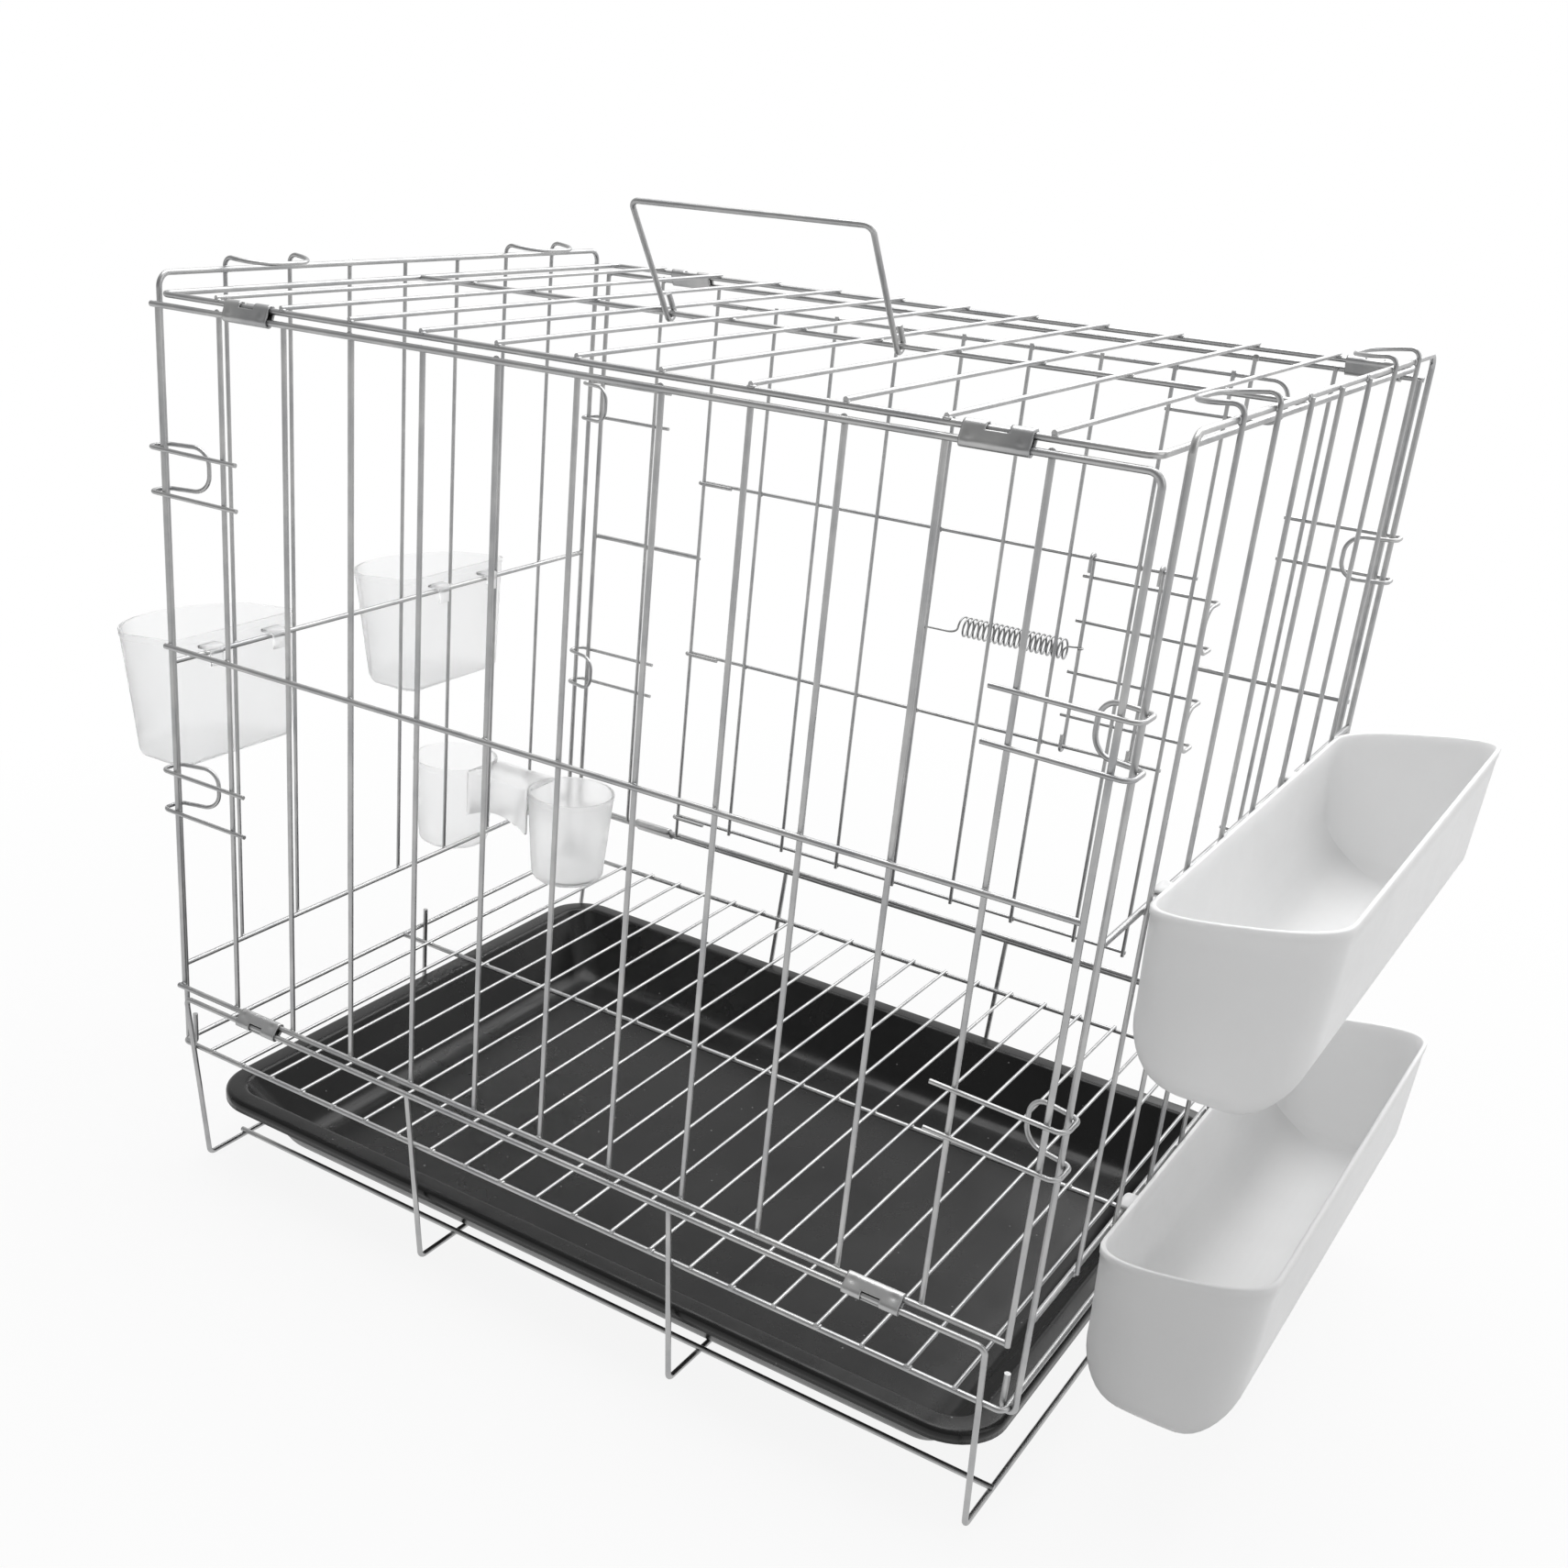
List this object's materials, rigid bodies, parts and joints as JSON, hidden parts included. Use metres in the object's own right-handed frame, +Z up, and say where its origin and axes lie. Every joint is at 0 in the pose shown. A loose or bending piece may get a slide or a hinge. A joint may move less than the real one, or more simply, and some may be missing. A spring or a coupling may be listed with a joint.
{
  "type": "folding pigeon breeding cage",
  "caption": "Folding wire breeding cage for pigeons: hinged panels on a legged base, sprung back door, carry handle, hook-on feeders and a slide-out dropping tray.",
  "frame": {"origin": "on the ground under the middle of the panels", "axes": "+X along the long side, -Y to the front, +Z up"},
  "size_m": [0.605, 0.3617, 0.486],
  "materials": {
    "zinc_wire": "bright zinc plate",
    "zinc_sheet": "rolled zinc-plated sheet",
    "spring_steel": "zinc-plated spring wire",
    "milky_plastic": "milky translucent moulding",
    "black_plastic": "vacuum-formed gloss black sheet"
  },
  "bodies": {
    "base": {"base_front_frame": "zinc_wire", "base_back_frame": "zinc_wire", "inner_leg_frames": "zinc_wire", "foot_tie_wires": "zinc_wire", "floor_grid": "zinc_wire", "tray_stop": "zinc_wire", "base_front_clips": "zinc_sheet", "base_back_clips": "zinc_sheet"},
    "front_panel": {"front_panel": "zinc_wire", "front_left_catches": "zinc_wire", "front_right_catches": "zinc_wire"},
    "back_panel": {"back_panel": "zinc_wire", "back_left_catches": "zinc_wire", "back_right_catches": "zinc_wire"},
    "door": {"door": "zinc_wire", "latch_spring": "spring_steel"},
    "latch": {"latch": "zinc_wire"},
    "roof": {"roof_panel": "zinc_wire", "roof_front_clips": "zinc_sheet", "roof_back_clips": "zinc_sheet"},
    "handle": {"carry_handle": "zinc_wire"},
    "left_end": {"left_end_panel": "zinc_wire", "left_hairpins": "zinc_wire"},
    "right_end": {"right_end_panel": "zinc_wire", "right_hairpins": "zinc_wire"},
    "upper_trough": {"upper_trough": "milky_plastic"},
    "lower_trough": {"lower_trough": "milky_plastic"},
    "left_front_cup": {"left_front_cup": "milky_plastic"},
    "left_back_cup": {"left_back_cup": "milky_plastic"},
    "double_cup": {"double_cup": "milky_plastic"},
    "tray": {"dropping_tray": "black_plastic"}
  },
  "joints": [
    {"name": "fold", "type": "hinge", "parent": "base", "child": "front_panel", "pos_m": [0, -0.172, 0.101], "axis": [-1, 0, 0], "range_deg": [0, 75], "deforming": ["front_left_catches", "front_right_catches", "back_left_catches", "back_right_catches"]},
    {"name": "back_link", "type": "hinge", "parent": "base", "child": "back_panel", "pos_m": [0, 0.172, 0.101], "axis": [-1, 0, 0], "range_deg": [0, 75]},
    {"name": "roof_link", "type": "hinge", "parent": "front_panel", "child": "roof", "pos_m": [0, -0.172, 0.431], "axis": [-1, 0, 0], "range_deg": [-75, 0]},
    {"name": "left_end_swing", "type": "hinge", "parent": "base", "child": "left_end", "pos_m": [-0.2273, 0, 0.068], "axis": [0, -1, 0], "range_deg": [0, 80]},
    {"name": "right_end_swing", "type": "hinge", "parent": "base", "child": "right_end", "pos_m": [0.2273, 0, 0.068], "axis": [0, 1, 0], "range_deg": [0, 60]},
    {"name": "door_swing", "type": "hinge", "parent": "back_panel", "child": "door", "pos_m": [-0.15, 0.17, 0.271], "axis": [0, 0, -1], "range_deg": [-105, 0]},
    {"name": "latch_slide", "type": "slide", "parent": "door", "child": "latch", "axis": [1, 0, 0], "range_m": [0, 0.012], "stiffness_N_per_m": 300, "springref_m": -0.01, "deforming": ["latch_spring"]},
    {"name": "handle_swing", "type": "hinge", "parent": "roof", "child": "handle", "pos_m": [0, 0, 0.4355], "axis": [1, 0, 0], "range_deg": [-119, 46]},
    {"name": "tray_slide", "type": "slide", "parent": "base", "child": "tray", "axis": [-1, 0, 0], "range_m": [-0.3, 0]},
    {"name": "upper_trough_lift", "type": "slide", "parent": "right_end", "child": "upper_trough", "axis": [0, 0, 1], "range_m": [0, 0.03]},
    {"name": "lower_trough_lift", "type": "slide", "parent": "right_end", "child": "lower_trough", "axis": [0, 0, 1], "range_m": [0, 0.03]},
    {"name": "left_front_cup_lift", "type": "slide", "parent": "left_end", "child": "left_front_cup", "axis": [0, 0, 1], "range_m": [0, 0.03]},
    {"name": "left_back_cup_lift", "type": "slide", "parent": "left_end", "child": "left_back_cup", "axis": [0, 0, 1], "range_m": [0, 0.03]},
    {"name": "double_cup_lift", "type": "slide", "parent": "left_end", "child": "double_cup", "axis": [0, 0, 1], "range_m": [0, 0.03]}
  ],
  "couplings": [
    {"joint": "back_link", "follows": "fold", "ratio": 1},
    {"joint": "roof_link", "follows": "fold", "ratio": -1}
  ]
}
